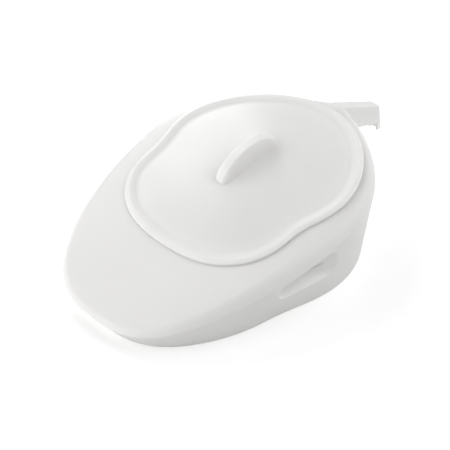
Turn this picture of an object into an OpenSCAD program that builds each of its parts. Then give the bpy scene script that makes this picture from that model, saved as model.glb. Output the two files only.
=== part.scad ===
// Bedpan with a lift-off lid. The pan is one moulded shell: a seat that climbs from a low
// front lip to a high rear end, a bowl under the seat's opening, a skirt down to the bed
// with a finger recess in each side, and a hooked handle at the rear. The lid is a second
// moulded shell: a flange over the rim of the opening, a domed cover with a hollow grip,
// and a locating lip that stands down into the opening.
// +X is the right side, +Y the rear end with the handle, and Z = 0 is what the pan rests on.

/* [Pan] */
// Width of the pan at its widest
pan_w = 288; // [275:1:305]
// Length of the pan without its handle
pan_l = 379; // [370:1:400]
// Height of the seat at the front lip
front_h = 23; // [18:0.5:26]
// Height of the seat half way along
mid_h = 82.5; // [76:0.5:90]
// Height of the seat at the rear
rear_h = 106; // [98:1:114]
// Wall thickness of the pan
wall = 2.6; // [2:0.1:4]
// How much fuller the rear half of the outline is than the front half
egg = 0.17; // [0.08:0.01:0.2]
// Squareness of the outline at the front lip, where 2 is an ellipse
front_square = 2.7; // [2.4:0.05:3.1]
// Squareness of the outline at the rear, where 2 is an ellipse
rear_square = 1.55; // [1.4:0.05:2]
// Radius of the shoulder, from the seat into the skirt, along the sides
shoulder_r = 14; // [12:0.5:20]
// Radius of the shoulder at the rear end
rear_r = 12.5; // [7:0.5:16]
// Radius of the shoulder at the front lip
lip_r = 5.5; // [5:0.5:12]
// How far the skirt leans in at its foot, along the sides
side_draft = 12; // [6:0.5:14]
// How far the skirt leans in at its foot, at the front
front_draft = 12.5; // [4:0.5:14]
// How far the skirt leans in at its foot, at the rear
rear_draft = 6.5; // [3:0.5:12]
// Depth of the waist on each side of the skirt's foot
foot_waist = 5; // [0:0.5:6]
// Distance of that waist behind the front lip
foot_waist_at = 157; // [130:1:180]
// Length over which that waist fades
foot_waist_l = 39; // [30:1:50]
// How far the seat rises from its shoulder to the rim of the opening
crown = 1.5; // [0:0.5:3]
// Rounding of the skirt's bottom edge
foot_r = 0.9; // [0.5:0.1:1]

/* [Bowl] */
// Width of the opening in the seat
open_w = 211; // [195:1:216]
// Length of the opening
open_l = 222; // [210:1:226]
// Distance from the front lip to the opening
open_front = 118; // [110:1:124]
// How much fuller the rear half of the opening is than the front half
open_egg = -0.09; // [-0.14:0.01:0.02]
// Squareness of the opening at its front
open_front_square = 2.45; // [2.1:0.05:2.8]
// Squareness of the opening at its rear
open_rear_square = 1.9; // [1.8:0.05:2.3]
// Depth of the waist on each side of the opening
waist = 13; // [6:0.5:14]
// Distance of the waist behind the opening's front end
waist_at = 76; // [65:1:90]
// Length over which the waist fades
waist_l = 37; // [30:1:45]
// Radius of the rim, from the bowl up to the seat
rim_r = 5; // [4.5:0.5:7]
// How far the bowl's floor lies inside its opening
bowl_draft = 30; // [15:1:40]
// Squareness of the bowl's section, where 2 is round
bowl_square = 3; // [2.2:0.1:4]
// Height of the bowl's underside above the bed
bowl_clear = 2; // [1:0.5:6]

/* [Handle] */
// Length of the handle behind the pan
handle_l = 68; // [55:1:75]
// Width of the handle
handle_w = 14; // [12:0.5:20]
// Distance from the pan's rear end in to the handle's root on the seat
root_in = 16; // [13:0.5:17]
// Distance from the pan's rear end in to the handle's bend
bend_in = 8; // [5:0.5:10]
// How far the seat swells up to the handle's root
root_rise = 5.5; // [2:0.5:6]
// Width over which the swelling fades on each side
swell_w = 17; // [12:1:24]
// Length over which the swelling fades in front of the pan's rear end
swell_l = 14; // [10:1:18]
// How far the handle drops over its length
handle_drop = 27; // [20:1:32]
// Depth of the handle's side walls at the hook
handle_h = 25; // [20:1:28]
// Depth of the handle's side walls at the pan
root_h = 33; // [26:1:36]
// Thickness of the hook along the handle
hook_t = 8; // [6:0.5:12]
// How far the hook hangs below the side walls
hook_drop = 10.5; // [8:0.5:16]
// How far the hook leans outwards towards its tip
hook_lean = 6; // [2:0.5:8]

/* [Finger recess] */
// Length of the finger recess in each side
recess_l = 81; // [72:1:92]
// Height of the recess at its front end
recess_h = 26; // [22:0.5:28]
// Height of the recess at its rear end
recess_rear_h = 35; // [28:0.5:36]
// How far the recess's lower edge rises towards the rear
recess_lift = 2; // [0:0.5:4]
// Depth of the recess at its lower edge
recess_sill = 4.5; // [4:0.5:6]
// Depth of the recess under its upper edge
recess_d = 10; // [8:0.5:20]
// Angle by which the recess gets deeper towards the rear
recess_turn = 1; // [0:0.5:4]
// Distance from the front lip to the middle of the recess
recess_at = 183; // [172:1:192]
// Height of the recess's lower edge above the bed
recess_z = 30; // [26:0.5:31]

/* [Lid] */
// Wall thickness of the lid
lid_wall = 2.4; // [1.8:0.1:3.2]
// Play between the lid and the pan
play = 0.4; // [0.3:0.1:1]
// How far the foot of the dome lies outside the opening
lid_lap = 6.5; // [5.5:0.5:8]
// Width of the flange outside the dome
flange_w = 13.5; // [11:0.5:15]
// How far the flange's outer edge stands up
flange_lip = 0.6; // [0:0.1:2]
// Width over which it stands up
flange_rise_w = 6; // [3:0.5:8]
// Rounding of the flange's outer edge
flange_r = 0.8; // [0.4:0.1:1.2]
// Depth of the step from the flange to the foot of the dome
step_h = 1; // [0.5:0.1:2]
// Width of the step
step_w = 1.2; // [0.8:0.1:2]
// Width of the shallow trough round the foot of the dome
trough_w = 3; // [2:0.5:5]
// Height of the dome's ridge above its foot
dome_h = 9.5; // [6:0.5:14]
// Roundness of the dome's slopes, where 1 is straight
dome_round = 1.35; // [1:0.05:1.8]
// How far the locating lip stands down into the opening
lip_h = 9; // [7:0.5:14]

/* [Grip] */
// Length of the grip along its foot
grip_l = 82; // [66:1:85]
// Height of the grip above the dome's ridge
grip_h = 23; // [20:1:30]
// Thickness of the grip at its foot
grip_foot = 16; // [14:0.5:20]
// Thickness of the grip at its top
grip_top = 11; // [9:0.5:13]
// Squareness of the grip's section, where 2 is an ellipse
grip_square = 4.5; // [3:0.5:8]
// Distance from the opening's front end to the middle of the grip
grip_at = 106; // [98:1:116]

/* [Hidden] */
sides = 96;             // points round each outline
cut = 60;               // reach of the cutting solids past the pan
shoulder_a = 78;        // angle of the shoulder where it leaves the seat
total_l = pan_l + handle_l;
pan_front = -total_l / 2;
pan_rear = pan_front + pan_l;
open_y = pan_front + open_front;
recess_y = pan_front + recess_at;
grip_y = open_y + grip_at;
slope_a = atan2(seat_z(grip_y + grip_l / 2) - seat_z(grip_y - grip_l / 2), grip_l);

// ---- Heights ----

// Height of the seat at y: a parabola through its front, middle and rear heights
function seat_z(y) =
    let (t = (y - pan_front) / pan_l)
    front_h * (1 - t) * (1 - 2 * t) + 4 * mid_h * t * (1 - t) + rear_h * t * (2 * t - 1);

// Height of the seat at [x, y], swollen up to the handle's root
function top_z(x, y) =
    seat_z(y) + root_rise * exp(-pow(x / swell_w, 2) - pow((y - pan_rear) / swell_l, 2));

// Shoulder radius at y: full half way along, smaller towards the front lip and the rear
function shoulder_at(y) =
    let (t = 2 * (y - pan_front) / pan_l - 1)
    shoulder_r + (t < 0 ? lip_r - shoulder_r : rear_r - shoulder_r) * t * t;

// ---- Outlines: closed lists of [x, y], clockwise from the rear ----

function spow(v, e) = sign(v) * pow(abs(v), e);

// Egg-shaped outline with a squareness of its own at each end
function outline(w, l, y0, skew, square_f, square_r) =
    let (
        raw = [for (i = [0:sides - 1])
            let (
                a = 360 * i / sides,
                n = (square_f + square_r) / 2 + (square_r - square_f) / 2 * cos(a)
            )
            [spow(sin(a), 2 / n) * (1 + skew * cos(a)), spow(cos(a), 2 / n)]],
        widest = max([for (p = raw) p.x])
    )
    [for (p = raw) [p.x * w / 2 / widest, y0 + l / 2 * (1 + p.y)]];

// Outline drawn in on both sides by a soft waist at y
function waisted(shape, depth, y, len) =
    [for (p = shape) [p.x - sign(p.x) * depth * exp(-pow((p.y - y) / len, 2)), p.y]];

// Outward unit normal at point i
function normal(shape, i) =
    let (
        n = len(shape),
        d = shape[(i + 1) % n] - shape[(i + n - 1) % n]
    )
    [-d.y, d.x] / norm(d);

function outset(shape, d) = [for (i = [0:len(shape) - 1]) shape[i] + d * normal(shape, i)];

function blend(a, b, f) = [for (i = [0:len(a) - 1]) a[i] * (1 - f) + b[i] * f];

pan_shape = outline(pan_w, pan_l, pan_front, egg, front_square, rear_square);
foot_shape = waisted(
    [for (p = pan_shape)
        [
            p.x * (1 - 2 * side_draft / pan_w),
            pan_front + front_draft + (p.y - pan_front) * (1 - (front_draft + rear_draft) / pan_l)
        ]],
    foot_waist, pan_front + foot_waist_at, foot_waist_l);
open_shape = waisted(
    outline(open_w, open_l, open_y, open_egg, open_front_square, open_rear_square),
    waist, open_y + waist_at, waist_l);
floor_shape = outset(open_shape, -bowl_draft);
dome_shape = outset(open_shape, lid_lap);
flange_shape = outset(dome_shape, flange_w);

// ---- Rings: outlines lifted into space ----

function level(shape, z) = [for (p = shape) [p.x, p.y, z]];

function on_rim(shape, dz) = [for (p = shape) [p.x, p.y, seat_z(p.y) + crown + dz]];

// Closed solid through a list of rings, with a flat cap on the first and last ring
module skin(rings) {
    n = len(rings[0]);
    m = len(rings);
    points = [for (r = rings) each r];
    faces = [
        [for (j = [0:n - 1]) j],
        [for (j = [0:n - 1]) (m - 1) * n + n - 1 - j],
        for (i = [0:m - 2], j = [0:n - 1])
            let (k = (j + 1) % n)
            each [
                [i * n + j, (i + 1) * n + j, (i + 1) * n + k],
                [i * n + j, (i + 1) * n + k, i * n + k]
            ]
    ];
    polyhedron(points, faces, convexity = 10);
}

// ---- Pan ----

floor_z = bowl_clear + wall;

// Bowl at angle a of its section: 0 on the floor, 90 at the neck. t is the depth into the wall.
function bowl_ring(a, t) =
    let (
        e = 2 / bowl_square,
        g = pow(sin(a), e),
        h = 1 - pow(cos(a), e),
        shape = blend(floor_shape, open_shape, g),
        nx = pow(sin(a), 2 - e) / bowl_draft,
        nz = pow(cos(a), 2 - e) / (mid_h - floor_z),
        s = t / norm([nx, nz])
    )
    [for (p = outset(shape, s * nx))
        let (neck = seat_z(p.y) + crown - rim_r)
        [p.x, p.y, floor_z + (neck - floor_z) * h - s * nz]];

// Rim at angle a: 0 at the neck, 90 on the seat
function rim_ring(a, t) =
    let (r = rim_r - t)
    on_rim(outset(open_shape, rim_r - r * cos(a)), r * sin(a) - rim_r);

// Shoulder at angle a: shoulder_a on the seat, 0 on the skirt
function shoulder_ring(a, t) =
    [for (i = [0:sides - 1])
        let (
            p = pan_shape[i],
            r = shoulder_at(p.y),
            q = p - normal(pan_shape, i) * (r - (r - t) * cos(a))
        )
        [q.x, q.y, top_z(q.x, q.y) - r + (r - t) * sin(a)]];

// Seat from the rim, f = 0, to the shoulder, f = 1
function seat_ring(f, t) =
    let (
        a = rim_ring(90, t),
        b = shoulder_ring(shoulder_a, t)
    )
    [for (i = [0:sides - 1])
        let (
            p = a[i] * (1 - f) + b[i] * f,
            edge = b[i].z - top_z(b[i].x, b[i].y)
        )
        [p.x, p.y, top_z(p.x, p.y) + (crown - t) * (1 - f * f) + edge * f * f]];

// Skirt from the shoulder, f = 0, to its foot, f = 1
function skirt_ring(f, t) =
    let (
        top = shoulder_ring(0, t),
        foot = outset(foot_shape, -t)
    )
    [for (i = [0:sides - 1])
        [top[i].x, top[i].y, top[i].z] * (1 - f) + [foot[i].x, foot[i].y, foot_r] * f];

// One face of the pan's wall, from the bowl's floor to the skirt's foot
function pan_face(t) = [
    for (a = [0:15:90]) bowl_ring(a, t),
    for (a = [30:30:90]) rim_ring(a, t),
    for (f = [1/3, 2/3]) seat_ring(f, t),
    for (k = [6:-1:0]) shoulder_ring(shoulder_a * k / 6, t),
    for (f = [0.25:0.25:1]) skirt_ring(f, t)
];

function reversed(list) = [for (i = [len(list) - 1:-1:0]) list[i]];

// Pan filled in under its seat, to trim what is joined to the inside of the wall
module pan_block() {
    skin(concat(pan_face(0), [level(outset(foot_shape, -foot_r), 0)]));
}

module pan_shell() {
    skin(concat(
        pan_face(0),
        [level(outset(foot_shape, -foot_r), 0), level(outset(foot_shape, foot_r - wall), 0)],
        reversed(pan_face(wall))
    ));
}

// Half width of the pan at y
function side_x(y) = lookup(y, [for (i = [0:sides / 2]) [pan_shape[i].y, pan_shape[i].x]]);

// Space of a finger recess, grown by t: a slot with round ends, taller at the rear. Its back
// slopes inwards from a sill at the lower edge to the full depth under the upper edge.
module recess_space(t) {
    back_a = atan2(recess_d - recess_sill, recess_rear_h);
    sill = recess_sill + t / cos(back_a);
    low = -t;
    high = recess_rear_h + recess_lift + t;
    intersection() {
        rotate([0, 90, 0])
        linear_extrude(2 * cut, center = true)
        hull()
        for (s = [-1, 1]) {
            r = (s < 0 ? recess_h : recess_rear_h) / 2;
            translate([s < 0 ? -r : -r - recess_lift, s * (recess_l / 2 - r)])
            circle(r + t, $fn = 48);
        }

        rotate([0, 0, recess_turn])
        rotate([90, 0, 0])
        linear_extrude(recess_l + 2 * cut, center = true)
        polygon([
            [-sill - tan(back_a) * low, low],
            [-sill - tan(back_a) * high, high],
            [cut, high],
            [cut, low]
        ]);
    }
}

// Both finger recesses, set square to the skirt
module recesses(t) {
    x_rear = side_x(recess_y + recess_l / 2);
    x_front = side_x(recess_y - recess_l / 2);
    lean = side_draft * (1 - recess_z / seat_z(recess_y));
    for (s = [0, 1])
    mirror([s, 0, 0])
    translate([(x_rear + x_front) / 2 - lean, recess_y, recess_z])
    rotate([0, 0, atan2(x_front - x_rear, recess_l)])
    recess_space(t);
}

// Bar across the handle at [y, z], or a short one in a side wall
module bar(p, w = handle_w) {
    translate([0, p.x, p.y])
    rotate([0, 90, 0])
    cylinder(h = w, r = wall / 2, center = true, $fn = 16);
}

// Handle: a channel with its open side down, and a hook at its end
module handle() {
    r = wall / 2;
    root = [pan_rear - root_in, top_z(handle_w / 2, pan_rear - root_in) - r];
    bend = [pan_rear - bend_in, top_z(handle_w / 2, pan_rear - bend_in) - r];
    tip = [pan_rear + handle_l - hook_lean - r, rear_h - handle_drop - r];
    fall = (bend.y - tip.y) / (tip.x - bend.x);
    hook_tip = [tip.x + hook_lean, tip.y - handle_h + wall - hook_drop];
    hook_root = [
        hook_tip.x - hook_t + wall,
        tip.y + fall * (tip.x - hook_tip.x + hook_t) - handle_h + wall
    ];

    hull() {
        bar(root);
        bar(bend);
    }
    hull() {
        bar(bend);
        bar(tip);
    }
    hull() {
        bar(tip);
        bar(hook_tip);
    }
    for (s = [-1, 1])
    translate([s * (handle_w - wall) / 2, 0, 0]) {
        hull() {
            bar(root, wall);
            bar(bend, wall);
            bar(tip, wall);
            bar(hook_root, wall);
            bar([pan_rear - wall, rear_h - root_h + r], wall);
        }
        hull() {
            bar(tip, wall);
            bar(hook_tip, wall);
            bar([hook_root.x, hook_tip.y], wall);
            bar(hook_root, wall);
        }
    }
}

module pan() {
    color([0.93, 0.92, 0.90])
    difference() {
        union() {
            pan_shell();
            intersection() {
                pan_block();
                recesses(wall);
            }
            handle();
        }
        recesses(0);
    }
}

// ---- Lid ----

foot_z = play + lid_wall;               // foot of the dome above the rim
dome_steps = [1, 0.96, 0.85, 0.65, 0.45, 0.25, 0.12, 0.05, 0];  // shares of the way to the grip
grip_shape = outline(grip_foot, grip_l, grip_y - grip_l / 2, 0, grip_square, grip_square);
trough_shape = outset(dome_shape, -trough_w);

// Height of the dome's ridge at y
function ridge_z(y) =
    seat_z(grip_y) + crown + (y - grip_y) * tan(slope_a) + foot_z + dome_h;

// Dome between its foot, f = 0, and the grip, f = 1
function dome_ring(f, t) =
    let (w = 1 - pow(1 - f, dome_round))
    [for (i = [0:sides - 1])
        let (
            a = trough_shape[i],
            b = grip_shape[i],
            p = a * (1 - f) + b * f
        )
        [p.x, p.y, (seat_z(a.y) + crown + foot_z) * (1 - w) + ridge_z(b.y) * w - t]];

// Grip at angle a of its arc: 0 at the ridge, 90 at its top
function grip_ring(a, t) =
    let (
        thick = grip_foot + (grip_top - grip_foot) * sin(a),
        long = grip_l * cos(a),
        y0 = grip_y - long / 2 + t,
        shape = outline(thick - 2 * t, long - 2 * t, y0, 0, grip_square, grip_square)
    )
    [for (p = shape) [p.x, p.y, ridge_z(p.y) + grip_h * sin(a) - t]];

module lid() {
    color([0.95, 0.94, 0.92])
    skin(concat(
        [for (a = [85:-10:5]) grip_ring(a, 0)],
        [for (f = dome_steps) dome_ring(f, 0)],
        [
            on_rim(outset(dome_shape, -step_w / 2), foot_z),
            on_rim(outset(dome_shape, step_w / 2), foot_z + step_h),
            on_rim(outset(flange_shape, -flange_rise_w), foot_z + step_h),
            on_rim(outset(flange_shape, -flange_r), foot_z + step_h + flange_lip),
            on_rim(flange_shape, foot_z + step_h + flange_lip - flange_r),
            on_rim(flange_shape, play),
            on_rim(outset(flange_shape, -lid_wall), play),
            on_rim(outset(flange_shape, -lid_wall), play + step_h),
            on_rim(outset(dome_shape, step_w / 2), play + step_h),
            on_rim(outset(dome_shape, -step_w / 2), play),
            on_rim(outset(open_shape, -play), play),
            on_rim(outset(open_shape, -play), play - lip_h),
            on_rim(outset(open_shape, -play - lid_wall), play - lip_h),
            on_rim(outset(open_shape, -play - lid_wall), play)
        ],
        [for (i = [len(dome_steps) - 3:-1:1]) dome_ring(dome_steps[i], lid_wall)],
        [for (a = [10:10:80]) grip_ring(a, lid_wall)]
    ));
}

pan();
lid();
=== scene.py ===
import math

import bmesh
import bpy
import numpy as np
from mathutils import Matrix, Vector


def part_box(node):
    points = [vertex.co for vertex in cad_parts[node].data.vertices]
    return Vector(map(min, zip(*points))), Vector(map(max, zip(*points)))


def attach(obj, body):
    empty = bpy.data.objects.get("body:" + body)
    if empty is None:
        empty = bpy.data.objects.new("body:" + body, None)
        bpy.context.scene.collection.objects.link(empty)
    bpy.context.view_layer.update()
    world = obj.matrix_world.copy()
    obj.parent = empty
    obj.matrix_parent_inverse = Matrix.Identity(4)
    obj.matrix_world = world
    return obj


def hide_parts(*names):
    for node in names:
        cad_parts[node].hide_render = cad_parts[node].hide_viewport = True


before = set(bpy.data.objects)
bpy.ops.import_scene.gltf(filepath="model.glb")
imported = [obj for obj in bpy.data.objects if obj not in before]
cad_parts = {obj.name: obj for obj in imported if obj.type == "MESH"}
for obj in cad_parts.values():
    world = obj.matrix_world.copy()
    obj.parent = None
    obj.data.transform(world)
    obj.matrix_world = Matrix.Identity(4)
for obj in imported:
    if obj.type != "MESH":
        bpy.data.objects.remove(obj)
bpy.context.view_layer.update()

# ---- Sizes in millimetres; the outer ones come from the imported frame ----

MM = 1000               # millimetres in a metre
SIDES = 96              # points that define an outline
TAU = 2 * math.pi

pan_low, pan_high = (MM * np.array(v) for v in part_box("pan"))

handle_l = 68.0
pan_w = pan_high[0] - pan_low[0] - 0.2     # less what the rounded mesh swells between its points
total_l = pan_high[1] - pan_low[1]
pan_l = total_l - handle_l
pan_front = pan_low[1]
pan_rear = pan_front + pan_l

front_h, mid_h, rear_h = 23.0, 82.5, 106.0
wall = 2.6
egg, front_square, rear_square = 0.17, 2.7, 1.55
shoulder_r, rear_r, lip_r = 14.0, 12.5, 5.5
side_draft, front_draft, rear_draft = 12.0, 12.5, 6.5
foot_waist, foot_waist_at, foot_waist_l, foot_r = 5.0, 157.0, 39.0, 0.9
crown, shoulder_a = 1.5, 78.0

open_w, open_l, open_front = 211.0, 222.0, 118.0
open_egg, open_front_square, open_rear_square = -0.09, 2.45, 1.9
waist, waist_at, waist_l = 13.0, 76.0, 37.0
rim_r, bowl_draft, bowl_square, bowl_clear = 5.0, 30.0, 3.0, 2.0
open_y = pan_front + open_front
floor_z = bowl_clear + wall

handle_w, handle_drop, handle_h, root_h = 14.0, 27.0, 25.0, 33.0
root_in, bend_in = 16.0, 8.0
root_rise, swell_w, swell_l = 5.5, 17.0, 14.0
hook_t, hook_drop, hook_lean = 8.0, 10.5, 6.0
handle_edge = 1.1

recess_l, recess_h, recess_rear_h, recess_lift = 81.0, 26.0, 35.0, 2.0
recess_sill, recess_d, recess_at, recess_z = 4.5, 10.0, 183.0, 30.0
recess_y = pan_front + recess_at
recess_deepen = math.radians(1)     # turn of its back, deeper towards the rear
recess_ramp = 0.35                  # slope of its back up to its rear end
recess_steep = 1.2                  # slope of its walls against its depth
recess_round = 0.8                  # rounding of its edges
recess_scoop = 4.0                  # rounding between its walls and its back

lid_wall, play, lid_lap = 2.4, 0.4, 6.5
flange_w, flange_lip, flange_r = 13.5, 0.6, 2.0
step_h, trough_w = 1.0, 3.0
dome_h, dome_round, lip_h = 9.5, 1.6, 9.0
foot_z = play + lid_wall
grip_l, grip_h, grip_foot, grip_top = 82.0, 22.9, 16.0, 11.0
grip_at, grip_edge, grip_edge_foot, grip_fillet = 106.0, 1.8, 4.6, 0.5
grip_y = open_y + grip_at

# ---- Heights and outlines ----


def seat_z(y):
    """Height of the seat at y: a parabola through its front, middle and rear heights."""
    t = (y - pan_front) / pan_l
    return front_h * (1 - t) * (1 - 2 * t) + 4 * mid_h * t * (1 - t) + rear_h * t * (2 * t - 1)


def top_z(p):
    """Height of the seat at [x, y], swollen up to the handle's root."""
    swell = np.exp(-((p[:, 0] / swell_w) ** 2) - ((p[:, 1] - pan_rear) / swell_l) ** 2)
    return seat_z(p[:, 1]) + root_rise * swell


def shoulder_at(y):
    """Shoulder radius at y: full half way along, smaller towards both ends."""
    t = 2 * (y - pan_front) / pan_l - 1
    return shoulder_r + np.where(t < 0, lip_r - shoulder_r, rear_r - shoulder_r) * t * t


def spow(v, e):
    """Power that keeps the sign."""
    return np.sign(v) * np.abs(v) ** e


def outline(w, l, y0, skew, square_f, square_r):
    """Closed rounded outline, wider by skew towards one end, with its own squareness at each."""
    a = TAU * np.arange(SIDES) / SIDES
    s, c = np.sin(a), np.cos(a)
    s[SIDES // 2] = 0.0
    c[[SIDES // 4, 3 * SIDES // 4]] = 0.0
    n = (square_f + square_r) / 2 + (square_r - square_f) / 2 * c
    raw_x = spow(s, 2 / n) * (1 + skew * c)
    raw_y = spow(c, 2 / n)
    return np.stack([raw_x * w / 2 / raw_x.max(), y0 + l / 2 * (1 + raw_y)], 1)


def waisted(shape, depth, y, length):
    """The outline drawn in by depth on both sides round y."""
    out = shape.copy()
    out[:, 0] -= np.sign(shape[:, 0]) * depth * np.exp(-(((shape[:, 1] - y) / length) ** 2))
    return out


def normals(shape):
    """Unit normals of a closed outline, outwards."""
    d = np.roll(shape, -1, 0) - np.roll(shape, 1, 0)
    return np.stack([-d[:, 1], d[:, 0]], 1) / np.linalg.norm(d, axis=1)[:, None]


def outset(shape, d):
    """The outline moved out by d, one value or one for each point."""
    return shape + np.reshape(d, (-1, 1)) * normals(shape)


def refine(ring, at):
    """Periodic cubic spline through the ring's points, read at fractional indices."""
    n = len(ring)
    w = TAU * np.fft.fftfreq(n)
    gain = ((4 + 2 * np.cos(w)) / 6)[:, None]
    c = np.real(np.fft.ifft(np.fft.fft(ring, axis=0) / gain, axis=0))
    i = np.floor(at).astype(int)
    t = (at - i)[:, None]
    weights = [(1 - t) ** 3, 3 * t**3 - 6 * t**2 + 4, -3 * t**3 + 3 * t**2 + 3 * t + 1, t**3]
    return sum(weights[k] / 6 * c[(i + k - 1) % n] for k in range(4))


def level(shape, z):
    """The outline as a ring at one height."""
    return np.column_stack([shape, np.full(len(shape), z)])


def on_rim(shape, dz):
    """The outline as a ring at dz over the seat's crown."""
    return np.column_stack([shape, seat_z(shape[:, 1]) + crown + dz])


pan_shape = outline(pan_w, pan_l, pan_front, egg, front_square, rear_square)
drafted = np.stack([
    pan_shape[:, 0] * (1 - 2 * side_draft / pan_w),
    pan_front + front_draft
    + (pan_shape[:, 1] - pan_front) * (1 - (front_draft + rear_draft) / pan_l),
], 1)
foot_shape = waisted(drafted, foot_waist, pan_front + foot_waist_at, foot_waist_l)
open_shape = waisted(
    outline(open_w, open_l, open_y, open_egg, open_front_square, open_rear_square),
    waist, open_y + waist_at, waist_l)
floor_shape = outset(open_shape, -bowl_draft)
dome_shape = outset(open_shape, lid_lap)
trough_shape = outset(dome_shape, -trough_w)

# ---- Pan: rings of points from the bowl's floor to the skirt's foot, t deep in the wall ----


def bowl_ring(a, t):
    """Ring at angle a of the bowl's section: 0 on the floor, 90 at the neck."""
    a = math.radians(a)
    e = 2 / bowl_square
    g = math.sin(a) ** e
    h = 1 - math.cos(a) ** e
    nx = math.sin(a) ** (2 - e) / bowl_draft
    nz = math.cos(a) ** (2 - e) / (mid_h - floor_z)
    s = t / math.hypot(nx, nz)
    shape = outset(floor_shape * (1 - g) + open_shape * g, s * nx)
    neck = seat_z(shape[:, 1]) + crown - rim_r
    return np.column_stack([shape, floor_z + (neck - floor_z) * h - s * nz])


def rim_ring(a, t):
    """Ring at angle a of the rolled rim: 0 at the bowl's neck, 90 on the seat."""
    a = math.radians(a)
    r = rim_r - t
    return on_rim(outset(open_shape, rim_r - r * math.cos(a)), r * math.sin(a) - rim_r)


def shoulder_ring(a, t):
    """Ring at angle a of the shoulder: 0 at the skirt, 90 on top."""
    a = math.radians(a)
    r = shoulder_at(pan_shape[:, 1])
    q = pan_shape - normals(pan_shape) * (r - (r - t) * math.cos(a))[:, None]
    return np.column_stack([q, top_z(q) - r + (r - t) * math.sin(a)])


def seat_ring(f, t):
    """Ring at share f of the way from the rim to the shoulder."""
    a = rim_ring(90, t)[:, :2]
    b = shoulder_ring(shoulder_a, t)
    p = a * (1 - f) + b[:, :2] * f
    edge = b[:, 2] - top_z(b)
    return np.column_stack([p, top_z(p) + (crown - t) * (1 - f * f) + edge * f * f])


def skirt_ring(f, t):
    """Ring at share f of the way from the shoulder down to the foot."""
    top = shoulder_ring(0, t)
    foot = level(outset(foot_shape, -t), foot_r)
    return top * (1 - f) + foot * f


def smooth_min(a, b, k):
    """Smaller of a and b, blended over k where they meet."""
    h = np.clip(0.5 + 0.5 * (b - a) / k, 0, 1)
    return b * (1 - h) + a * h - k * h * (1 - h)


def smooth_max(a, b, k):
    """Larger of a and b, blended over k where they meet."""
    return -smooth_min(-a, -b, k)


# ---- Finger recess, in its own frame: out of the skirt, along it, up ----


def side_x(y):
    """Half width of the pan's outline at y."""
    half = pan_shape[:SIDES // 2 + 1]
    return np.interp(y, half[::-1, 1], half[::-1, 0])


recess_front_x = side_x(recess_y - recess_l / 2)
recess_rear_x = side_x(recess_y + recess_l / 2)
recess_turn = math.atan2(recess_front_x - recess_rear_x, recess_l)
recess_x = (recess_rear_x + recess_front_x) / 2 - side_draft * (1 - recess_z / seat_z(recess_y))


def to_recess(p):
    """Points on the right into the recess's frame."""
    d = p - np.array([recess_x, recess_y, recess_z])
    c, s = math.cos(recess_turn), math.sin(recess_turn)
    return np.column_stack([c * d[:, 0] + s * d[:, 1], -s * d[:, 0] + c * d[:, 1], d[:, 2]])


def from_recess(q):
    """Points of the recess's frame back into the pan's."""
    c, s = math.cos(recess_turn), math.sin(recess_turn)
    p = np.column_stack([c * q[:, 0] - s * q[:, 1], s * q[:, 0] + c * q[:, 1], q[:, 2]])
    return p + np.array([recess_x, recess_y, recess_z])


# The recess's outline: two circles and the lines that touch both
end_r = recess_h / 2, recess_rear_h / 2
front_c = np.array([end_r[0] - recess_l / 2, end_r[0]])
rear_c = np.array([recess_l / 2 - end_r[1], end_r[1] + recess_lift])


def recess_axis(yz):
    """Nearest point on the recess's axis, radius there, and direction away from it."""
    span = np.linalg.norm(rear_c - front_c)
    u = (rear_c - front_c) / span
    v = np.array([-u[1], u[0]])
    lean = (end_r[0] - end_r[1]) / span
    rel = yz - front_c
    along, across = rel @ u, rel @ v
    reach = np.abs(across) / math.sqrt(1 - lean * lean)
    s = np.clip((along - reach * lean) / span, 0, 1)
    centre = front_c + s[:, None] * (rear_c - front_c)
    ray = yz - centre
    ray /= np.maximum(np.linalg.norm(ray, axis=1), 1e-6)[:, None]
    return centre, end_r[0] + (end_r[1] - end_r[0]) * s, ray


# Rings of the recess's patch: to its mouth, across the mouth's edge, and in to the axis
mouth_margin = 1.2
border_shares = 0.35, 0.7, 1.0
edge_offsets = np.concatenate([[0.9, 0.7, 0.5], 0.2 - 0.2 * np.arange(17), [-3.3, -3.7]])
inner_shares = 0.92, 0.82, 0.7, 0.56, 0.42, 0.28, 0.15, 0.04
fit_degree, fit_reach_y, fit_reach_z = 6, 60, 30    # smooth skirt under the patch


def recess_patch(border, skirt, t):
    """Rings of points from the border of the hole in the skirt to the recess's axis."""
    q = to_recess(border)
    near = to_recess(skirt)
    powers = [(i, j) for i in range(fit_degree + 1) for j in range(fit_degree + 1 - i)]

    def terms(y, z):
        u, v = y / fit_reach_y, (z - end_r[0]) / fit_reach_z
        return np.column_stack([u ** i * v ** j for i, j in powers])

    fit = np.linalg.lstsq(terms(near[:, 1], near[:, 2]), near[:, 0], rcond=None)[0]
    centre, radius, ray = recess_axis(q[:, 1:])
    radius = radius[:, None] + t
    rings = [border]
    outer = centre + ray * (radius + mouth_margin)
    flat = [q[:, 1:] * (1 - f) + outer * f for f in border_shares]
    flat += [centre + ray * (radius + o) for o in edge_offsets]
    flat += [centre + ray * (radius + edge_offsets[-1]) * f for f in inner_shares]
    for yz in flat:
        here, wide, _ = recess_axis(yz)
        o = np.linalg.norm(yz - here, axis=1) - wide - t
        face = terms(yz[:, 0], yz[:, 1]) @ fit
        back = -recess_sill - (recess_d - recess_sill) * yz[:, 1] / recess_rear_h
        back -= yz[:, 0] * math.tan(recess_deepen) + t
        ramp = (recess_l / 2 + t - yz[:, 0]) * recess_ramp
        depth = smooth_min(face - back, ramp, recess_scoop)
        depth = smooth_min(-o * recess_steep, depth, recess_scoop)
        depth = smooth_max(depth, 0, recess_round)
        rings.append(from_recess(np.column_stack([face - depth, yz])))
    return rings


# ---- Mesh of the pan ----

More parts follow.
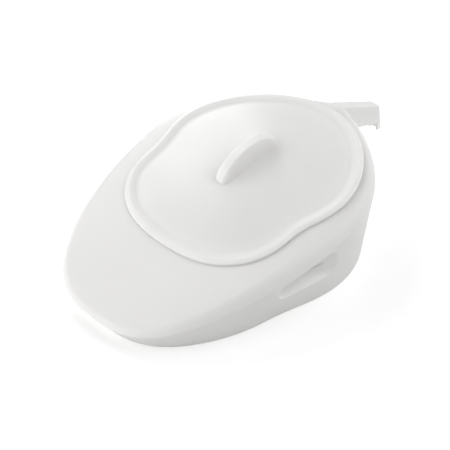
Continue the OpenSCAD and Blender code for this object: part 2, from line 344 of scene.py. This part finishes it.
# Columns: closer together beside the recesses
wide_gap, close_gap = 3.4, 1.3
close_reach, close_fade = recess_l / 2 + 8, 12
dense = np.linspace(0, SIDES, 100 * SIDES + 1)
line = refine(pan_shape, dense)
mid = (line[1:] + line[:-1]) / 2
length = np.linalg.norm(np.diff(line, axis=0), axis=1)
fine = np.exp(-np.clip(np.abs(mid[:, 1] - recess_y) - close_reach, 0, None) / close_fade)
fine *= np.abs(mid[:, 0]) > pan_w / 4
count = np.concatenate([[0], np.cumsum(length / (wide_gap + (close_gap - wide_gap) * fine))])
columns = 4 * round(count[-1] / 4)
at = np.interp(np.linspace(0, count[-1], columns, endpoint=False), count, dense)

bowl_rows, rim_rows, seat_rows, shoulder_rows = 22, 10, 15, 16
skirt_steps = np.concatenate([np.linspace(0, 0.7, 40), np.linspace(0.7, 1, 9)[1:]])
hole_rows = (0, 39)     # skirt steps that bound the recess's hole
hole_extra = 3          # rows that the hole reaches further up on the wall's inner face
hole_margin = 5.5       # reach of the hole past the recess's ends
cap_shares = 0.985, 0.9, 0.7, 0.45, 0.2, 0.04       # rings that close the bowl's flat floor
foot_angles = 22.5, 45, 67.5, 90


def grid_rows(t):
    """Named rows of one face of the wall."""
    rows = []
    for k in np.linspace(0, 1, bowl_rows):
        a = 90 * k
        if 0 < k < 1:
            g = k ** (bowl_square / 2)
            a = math.degrees(math.atan2(g, (1 - k) ** (bowl_square / 2)))
        rows.append(("bowl", bowl_ring(a, t)))
    for a in np.linspace(0, 90, rim_rows)[1:]:
        rows.append(("rim", rim_ring(a, t)))
    for f in np.linspace(0, 1, seat_rows)[1:-1]:
        rows.append(("seat", seat_ring(f, t)))
    for a in np.linspace(shoulder_a, 0, shoulder_rows):
        rows.append(("shoulder", shoulder_ring(a, t)))
    for f in skirt_steps[1:]:
        rows.append(("skirt", skirt_ring(f, t)))
    return [(name, refine(ring, at)) for name, ring in rows]


def linked(name, data):
    """New object with this data, in the scene."""
    obj = bpy.data.objects.new(name, data)
    bpy.context.scene.collection.objects.link(obj)
    return obj


def make_object(name, shell):
    """New smooth object with the shell's skin, its normals outwards."""
    mesh = bpy.data.meshes.new(name)
    mesh.from_pydata((np.asarray(shell.verts) / MM).tolist(), [], shell.faces)
    bm = bmesh.new()
    bm.from_mesh(mesh)
    bmesh.ops.recalc_face_normals(bm, faces=bm.faces)
    bm.to_mesh(mesh)
    bm.free()
    mesh.shade_smooth()
    return linked(name, mesh)


class Shell:
    """Vertices and faces of one closed skin."""

    def __init__(self):
        self.verts = []
        self.faces = []

    def add(self, points):
        """New vertices; returns their numbers."""
        first = len(self.verts)
        self.verts.extend(np.asarray(points).tolist())
        return np.arange(first, first + len(points))

    def bridge(self, a, b, skip=()):
        """Four-sided faces between two closed rings, but for the columns in skip."""
        n = len(a)
        for j in range(n):
            if j in skip:
                continue
            k = (j + 1) % n
            self.faces.append((int(a[j]), int(b[j]), int(b[k]), int(a[k])))

    def bridge_new(self, last, points):
        """Adds the points as a ring and bridges the last ring to it."""
        new = self.add(points)
        self.bridge(last, new)
        return new

    def face(self, ids):
        """One face that closes a ring."""
        self.faces.append(tuple(int(i) for i in ids))


def add_face(shell, t):
    """One face of the pan's wall with its recess patches. Returns its first and last ring."""
    rows = grid_rows(t)
    named = [n for n, _ in rows]
    base = named.index("skirt") - 1             # shoulder ring at its lower end
    j0, j1 = base + hole_rows[0], base + hole_rows[1]
    if t > 0:
        j0 -= hole_extra
    ids = [shell.add(r) for _, r in rows]
    ring = rows[base][1]
    skip = {}
    for side in (1, -1):
        local = to_recess(ring * np.array([side, 1, 1]))
        near = np.abs(local[:, 1]) < recess_l / 2 + t + hole_margin
        inside = (ring[:, 0] * side > 0) & near
        cols = np.flatnonzero(inside)
        if cols[-1] - cols[0] != len(cols) - 1:
            raise ValueError("the recess's columns wrap round")
        skip[side] = cols[0], cols[-1]
    for j in range(len(ids) - 1):
        drop = set()
        if j0 <= j < j1:
            for c0, c1 in skip.values():
                drop |= set(range(c0, c1))
        shell.bridge(ids[j], ids[j + 1], drop)
    for side, (c0, c1) in skip.items():
        loop = [ids[j0][c] for c in range(c0, c1)]
        loop += [ids[j][c1] for j in range(j0, j1)]
        loop += [ids[j1][c] for c in range(c1, c0, -1)]
        loop += [ids[j][c0] for j in range(j1, j0, -1)]
        flip = np.array([side, 1, 1])
        border = np.array([shell.verts[i] for i in loop]) * flip
        skirt = np.concatenate([rows[j][1][c0:c1 + 1] for j in range(j0, j1 + 1)]) * flip
        rings = recess_patch(border, skirt, t)
        last = np.array(loop)
        for r in rings[1:]:
            last = shell.bridge_new(last, r * flip)
        shell.face(last)
    return ids[0], ids[-1]


def build_pan():
    shell = Shell()
    top_first, top_last = add_face(shell, 0)
    low_first, low_last = add_face(shell, wall)
    for first in (top_first, low_first):
        last = first
        end = np.array([shell.verts[i] for i in first])
        middle = end.mean(0)
        for s in cap_shares:
            last = shell.bridge_new(last, middle + (end - middle) * s)
        shell.face(last)
    last = top_last
    around = [(a, False) for a in foot_angles] + [(a, True) for a in foot_angles[::-1]]
    for a, inner in around:
        d = foot_r * (1 - math.cos(math.radians(a)))
        z = foot_r * (1 - math.sin(math.radians(a)))
        shape = outset(foot_shape, d - wall if inner else -d)
        last = shell.bridge_new(last, refine(level(shape, z), at))
    shell.bridge(last, low_last)
    return make_object("pan_shell", shell)


# ---- Handle: a channel with its open side down, and a hook at its end ----


def prism(name, outline_yz, half_w):
    """Solid with this side view, from -half_w to half_w."""
    bm = bmesh.new()
    left = [bm.verts.new((-half_w / MM, y / MM, z / MM)) for y, z in outline_yz]
    right = [bm.verts.new((half_w / MM, y / MM, z / MM)) for y, z in outline_yz]
    bm.faces.new(left)
    bm.faces.new(right[::-1])
    n = len(left)
    for i in range(n):
        k = (i + 1) % n
        bm.faces.new((left[i], right[i], right[k], left[k]))
    bmesh.ops.recalc_face_normals(bm, faces=bm.faces)
    mesh = bpy.data.meshes.new(name)
    bm.to_mesh(mesh)
    bm.free()
    return linked(name, mesh)


def applied(obj):
    """Replaces the object's mesh by its evaluated one and drops its modifiers."""
    graph = bpy.context.evaluated_depsgraph_get()
    mesh = bpy.data.meshes.new_from_object(obj.evaluated_get(graph))
    obj.modifiers.clear()
    obj.data = mesh


def boolean(obj, other, operation):
    """Joins or cuts obj with other, which is used up."""
    mod = obj.modifiers.new("join", "BOOLEAN")
    mod.object = other
    mod.operation = operation
    mod.solver = "EXACT"
    applied(obj)
    bpy.data.objects.remove(other)


def build_handle():
    r = wall / 2
    edge = np.array([[handle_w / 2, pan_rear - root_in], [handle_w / 2, pan_rear - bend_in]])
    root = (edge[0, 1], top_z(edge)[0] - r)
    bend = (edge[1, 1], top_z(edge)[1] - r)
    tip = (pan_rear + handle_l - hook_lean - r, rear_h - handle_drop - r)
    fall = (bend[1] - tip[1]) / (tip[0] - bend[0])
    hook_tip = (tip[0] + hook_lean, tip[1] - handle_h + wall - hook_drop)
    hook_x = hook_tip[0] - hook_t + wall
    hook_z = tip[1] + fall * (tip[0] - hook_x) - handle_h + wall
    outer = [
        (root[0], root[1] + r),
        (bend[0], bend[1] + r),
        (tip[0] + r, tip[1] + r - fall * r),
        (hook_tip[0] + r, hook_tip[1] - r),
        (hook_x - r, hook_tip[1] - r),
        (hook_x - r, hook_z - r),
        (pan_rear - wall, rear_h - root_h),
        (root[0], root[1] - r),
    ]
    start, drop, below = 5, 6, 30       # the cavity past the root, its roof's fall there, its reach down
    end_y, hook_y = tip[0] - r * 0.6, hook_tip[0] - r * 1.3
    inner = [
        (root[0] - start, root[1] - below),
        (root[0] - start, root[1] - r - drop),
        (bend[0], bend[1] - r),
        (end_y, tip[1] - r),
        (hook_y, hook_tip[1] - 3 * r),
        (hook_y, hook_tip[1] - below),
    ]
    handle = prism("handle", outer, handle_w / 2)
    cavity = prism("cavity", inner, handle_w / 2 - wall)
    boolean(handle, cavity, "DIFFERENCE")
    bevel = handle.modifiers.new("bevel", "BEVEL")
    bevel.width = handle_edge / MM
    bevel.segments = 3
    bevel.limit_method = "ANGLE"
    bevel.angle_limit = math.radians(28)        # shallower bends stay plain
    bevel.use_clamp_overlap = True
    applied(handle)
    return handle


pan = build_pan()
handle = build_handle()
boolean(pan, handle, "UNION")
pan.data.shade_smooth()

# ---- Lid ----


def ridge_z(y):
    """Height of the dome's ridge under the grip, in line with the seat there."""
    y1, y0 = grip_y + grip_l / 2, grip_y - grip_l / 2
    slope = (seat_z(y1) - seat_z(y0)) / grip_l
    return seat_z(grip_y) + crown + (y - grip_y) * slope + foot_z + dome_h


lid_columns = 384
lid_at = np.arange(lid_columns) * SIDES / lid_columns
lid_a = TAU * np.arange(lid_columns) / lid_columns
end_to, side_from = 33.0, 57.0          # angles of the grip's end, and of its side; an edge between
grip_rows, grip_under_rows = 40, 26
fillet_angles = 15, 35, 55, 75
dome_rows, dome_under_rows = 34, 24
dome_reach, dome_under = 0.985, (0.0768, 0.96)      # shares of the way to the grip's foot
profile_gap, corner_rows = 2.5, 6


def grip_outline(h, t):
    """Section of the grip at height h over the ridge, drawn in by t: a slab with rounded edges."""
    high, half_l = grip_h - t, grip_l / 2 - t
    z = min(max(h, 0.0), high)
    thick = (grip_foot + (grip_top - grip_foot) * z / grip_h) / 2 - t
    edge = max(grip_edge + grip_edge_foot * (1 - z / high) ** 2 - t, 0.3)
    reach = half_l * math.sqrt(max(1 - (z / high) ** 2, 0))
    small = [max(half_l - edge, 1), max(high - edge, 1)]
    inner = small[0] * math.sqrt(max(1 - (z / small[1]) ** 2, 0)) if z < small[1] else 0.0
    q = np.degrees(np.arctan2(np.abs(np.sin(lid_a)), np.abs(np.cos(lid_a))))
    x = np.empty(lid_columns)
    y = np.empty(lid_columns)
    band = q <= end_to
    x[band] = (thick - edge) * (q[band] / end_to)
    y[band] = reach
    turn = (q > end_to) & (q < side_from)
    w = (q[turn] - end_to) / (side_from - end_to) * math.pi / 2
    y[turn] = inner + (reach - inner) * np.cos(w)
    x[turn] = thick - edge + edge * np.sin(w)
    side = q >= side_from
    y[side] = inner * (90 - q[side]) / (90 - side_from)
    x[side] = thick
    return np.stack([x * np.sign(np.sin(lid_a)), grip_y + y * np.sign(np.cos(lid_a))], 1)


def grip_ring(h, t, out=0.0):
    """Ring of the grip at height h over the ridge, moved out by out for the fillet."""
    shape = grip_outline(h, t)
    if out:
        shape = outset(shape, out)
    return np.column_stack([shape, ridge_z(shape[:, 1]) + h - t])


trough_fine = refine(trough_shape, lid_at)
grip_base = grip_outline(0, 0)


def dome_ring(f, t):
    """Ring of the dome at share f of the way from the trough to the grip's foot."""
    w = 1 - (1 - f) ** dome_round
    a, b = trough_fine, grip_base
    p = a * (1 - f) + b * f
    z = (seat_z(a[:, 1]) + crown + foot_z) * (1 - w) + ridge_z(b[:, 1]) * w - t
    return np.column_stack([p, z])


def lid_ring(d, h):
    """Ring at offset d from the opening's outline and height h over the seat."""
    if d > lid_lap:
        shape = outset(dome_shape, d - lid_lap)
    else:
        shape = outset(open_shape, d)
    return refine(on_rim(shape, h), lid_at)


def rounded(corners):
    """Points along a profile [(d, h, radius)], its corners turned into arcs."""
    out = []
    for i, (d, h, r) in enumerate(corners):
        p = np.array([d, h])
        if r <= 0 or i in (0, len(corners) - 1):
            out.append(p)
            continue
        before = np.array(corners[i - 1][:2]) - p
        after = np.array(corners[i + 1][:2]) - p
        lb, la = np.linalg.norm(before), np.linalg.norm(after)
        before, after = before / lb, after / la
        turn = math.acos(np.clip(before @ after, -1, 1))
        cut_l = min(r / math.tan(turn / 2), lb * 0.49, la * 0.49)
        a, b = p + before * cut_l, p + after * cut_l
        for s in np.linspace(0, 1, corner_rows):
            out.append((1 - s) ** 2 * a + 2 * s * (1 - s) * p + s * s * b)
    return out


def subdivide(points, limit):
    """The points with more between them, none further apart than limit."""
    out = [points[0]]
    for a, b in zip(points, points[1:]):
        n = max(1, math.ceil(np.linalg.norm(b - a) / limit))
        out += [a + (b - a) * k / n for k in range(1, n + 1)]
    return out


def build_lid():
    rings = []
    # grip, from its top down to the ridge
    for s in np.linspace(0, 1, grip_rows):
        h = grip_h * min(math.cos(s * math.pi / 2), 0.99995)
        if h < grip_fillet:
            break
        rings.append(grip_ring(h, 0))
    for a in fillet_angles:
        q = math.radians(a)
        rings.append(grip_ring(grip_fillet * (1 - math.sin(q)), 0, grip_fillet * (1 - math.cos(q))))
    # dome, from the grip's foot to the trough
    for f in np.linspace(dome_reach, 0, dome_rows):
        rings.append(dome_ring(f, 0))
    # step, flange, and the underside in to the lip: offset from the opening, height, radius
    lap = lid_lap
    rim = lap + flange_w
    corners = [
        (lap - trough_w, foot_z, 0),
        (lap + 0.5, foot_z, 1.0),
        (lap + flange_w * 0.7, foot_z + step_h + flange_lip, 9),
        (rim - 0.1, foot_z + step_h * 0.6, flange_r),
        (rim, play, 0.3),
        (rim - lid_wall, play, 0.3),
        (rim - lid_wall, play + step_h, 0.6),
        (lap + 1, play + step_h, 0.6),
        (lap, play, 0.6),
        (-play, play, 0.5),
        (-play, play - lip_h, 0.6),
        (-play - lid_wall, play - lip_h, 0.6),
        (-play - lid_wall, play, 1.0),
    ]
    profile = subdivide(rounded(corners), profile_gap)
    for d, h in profile[1:]:
        rings.append(lid_ring(d, h))
    # underside of the dome and the grip's hollow
    for f in np.linspace(*dome_under, dome_under_rows):
        rings.append(dome_ring(f, lid_wall))
    for s in np.linspace(0, 1, grip_under_rows):
        h = grip_h * min(math.sin(s * math.pi / 2), 0.9999)
        rings.append(grip_ring(h, lid_wall))
    shell = Shell()
    ids = [shell.add(r) for r in rings]
    for a, b in zip(ids, ids[1:]):
        shell.bridge(a, b)
    shell.face(ids[0])
    shell.face(ids[-1])
    return make_object("lid_shell", shell)


lid = build_lid()

for piece, body in ((pan, "pan"), (lid, "lid")):
    weighted = piece.modifiers.new("normals", "WEIGHTED_NORMAL")
    weighted.keep_sharp = True
    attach(piece, body)
    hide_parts(body)

# ---- Materials ----


def new_node(tree, kind, **values):
    """New node with these values on its sockets; _ stands for a space in a socket's name."""
    node = tree.nodes.new("ShaderNode" + kind)
    for name, value in values.items():
        node.inputs[name.replace("_", " ")].default_value = value
    return node


def clouds(tree, ends, **values):
    """Nodes of a soft noise: the object's own coordinates, the noise, and a colour ramp over it."""
    place = new_node(tree, "TexCoord")
    cloud = new_node(tree, "TexNoise", **values)
    tint = new_node(tree, "ValToRGB")
    for element, (position, colour) in zip(tint.color_ramp.elements, ends):
        element.position = position
        element.color = (*colour, 1)
    tree.links.new(place.outputs["Object"], cloud.inputs["Vector"])
    tree.links.new(cloud.outputs["Fac"], tint.inputs["Fac"])
    return place, cloud, tint


def plastic(name, pale, deep, rough, seed):
    """Satin plastic, slightly cloudy, with a fine grain; light enters it by some millimetres."""
    mat = bpy.data.materials.new(name)
    mat.use_nodes = True
    tree = mat.node_tree
    link = tree.links.new
    surface = tree.nodes["Principled BSDF"]
    ends = (0.3, deep), (0.7, pale)
    place, cloud, tint = clouds(tree, ends, Scale=9.0, Detail=3.0, Distortion=seed)
    grain = new_node(tree, "TexNoise", Scale=900.0, Detail=2.0)
    gloss = new_node(tree, "MapRange", To_Min=rough - 0.04, To_Max=rough + 0.04)
    bump = new_node(tree, "Bump", Strength=0.03, Distance=0.0002)
    link(place.outputs["Object"], grain.inputs["Vector"])
    link(tint.outputs["Color"], surface.inputs["Base Color"])
    link(cloud.outputs["Fac"], gloss.inputs["Value"])
    link(gloss.outputs["Result"], surface.inputs["Roughness"])
    link(grain.outputs["Fac"], bump.inputs["Height"])
    link(bump.outputs["Normal"], surface.inputs["Normal"])
    surface.inputs["IOR"].default_value = 1.49
    surface.inputs["Subsurface Weight"].default_value = 0.5
    surface.inputs["Subsurface Radius"].default_value = (0.008, 0.008, 0.008)
    surface.inputs["Subsurface Scale"].default_value = 1.0
    return mat


pan_pale, pan_deep = (0.80, 0.795, 0.785), (0.78, 0.775, 0.765)
lid_pale, lid_deep = (0.83, 0.825, 0.815), (0.81, 0.805, 0.795)
pan.data.materials.clear()
pan.data.materials.append(plastic("pan_plastic", pan_pale, pan_deep, 0.42, 0.0))
lid.data.materials.append(plastic("lid_plastic", lid_pale, lid_deep, 0.40, 0.4))

# ---- Floor, light and camera ----


def camera_sees(tree, seen, rest, output):
    """Shows one shader to the camera and the other to every other ray."""
    ray = new_node(tree, "LightPath")
    pick = new_node(tree, "MixShader")
    tree.links.new(ray.outputs["Is Camera Ray"], pick.inputs["Fac"])
    tree.links.new(rest, pick.inputs[1])
    tree.links.new(seen, pick.inputs[2])
    tree.links.new(pick.outputs["Shader"], tree.nodes[output].inputs["Surface"])


bpy.ops.mesh.primitive_plane_add(size=4, location=(0, 0, 0))
floor = bpy.context.object
floor.name = "floor"
paper = bpy.data.materials.new("paper")
paper.use_nodes = True
tree = paper.node_tree
surface = tree.nodes["Principled BSDF"]
surface.inputs["Roughness"].default_value = 0.9
surface.inputs["Specular IOR Level"].default_value = 0.1
ends = (0.0, (0.93, 0.93, 0.93)), (1.0, (0.95, 0.95, 0.95))
tint = clouds(tree, ends, Scale=3.0)[2]
tree.links.new(tint.outputs["Color"], surface.inputs["Base Color"])
# Seen by the camera the paper glows a little; what it throws back at the pan is greyer
glow = new_node(tree, "Emission", Strength=0.17)
lit = new_node(tree, "AddShader")
grey = new_node(tree, "BsdfDiffuse", Color=(0.86, 0.86, 0.86, 1))
tree.links.new(tint.outputs["Color"], glow.inputs["Color"])
tree.links.new(surface.outputs["BSDF"], lit.inputs[0])
tree.links.new(glow.outputs["Emission"], lit.inputs[1])
camera_sees(tree, lit.outputs["Shader"], grey.outputs["BSDF"], "Material Output")
floor.data.materials.append(paper)

world = bpy.data.worlds.new("studio")
bpy.context.scene.world = world
world.use_nodes = True
tree = world.node_tree
seen = tree.nodes["Background"]
seen.inputs["Color"].default_value = (1, 1, 1, 1)
seen.inputs["Strength"].default_value = 1.0
sky = new_node(tree, "Background", Color=(1, 1, 1, 1), Strength=0.05)
camera_sees(tree, seen.outputs["Background"], sky.outputs["Background"], "World Output")

lamp_away = 1.6                         # metres from the point that all lamps aim at
lamp_aim = Vector((0, 0, 0.05))


def area(name, direction, size, power):
    """Square lamp in this direction, facing the pan."""
    data = bpy.data.lights.new(name, "AREA")
    data.shape = "RECTANGLE"
    data.size = data.size_y = size
    data.energy = power
    obj = linked(name, data)
    d = Vector(direction).normalized()
    obj.location = lamp_aim + d * lamp_away
    obj.rotation_euler = d.to_track_quat("Z", "Y").to_euler()


area("rear", (-0.85, 0.5, 0.33), 0.5, 6.5)
area("back", (0.1, 1.0, 0.35), 1.6, 9.0)
area("front", (0.0, -1.0, 0.35), 1.6, 15.5)
area("left", (-0.7, -0.7, 0.3), 1.6, 14.2)
area("over", (-0.9, 0.1, 0.9), 0.9, 6.3)
area("right", (0.75, 0.6, 1.0), 1.6, 14.5)
area("side", (1.0, 0.1, 0.7), 1.6, 4.3)

turn, rise = 0.7915, 0.6844             # camera's place: round Z from -Y, and up, in radians
aim_left, aim_up = 0.0076634, 0.0126972     # how far its aim passes the target, in radians
target = Vector((0, -0.016, 0))
distance = 1.5
back = Vector((math.sin(turn) * math.cos(rise), -math.cos(turn) * math.cos(rise), math.sin(rise)))
right = Vector((math.cos(turn), math.sin(turn), 0))
up = back.cross(right)
axis = (back + right * aim_left - up * aim_up).normalized()     # out of the camera's back
side = up.cross(axis).normalized()
basis = Matrix((side, axis.cross(side), axis)).transposed().to_4x4()

camera = bpy.data.cameras.new("camera")
camera.sensor_width = 36
camera.lens = 106.5
camera.clip_start = 0.01
camera.clip_end = 20
eye = linked("camera", camera)
eye.matrix_world = Matrix.Translation(target + back * distance) @ basis
bpy.context.scene.camera = eye
bpy.context.scene.view_settings.view_transform = "Standard"
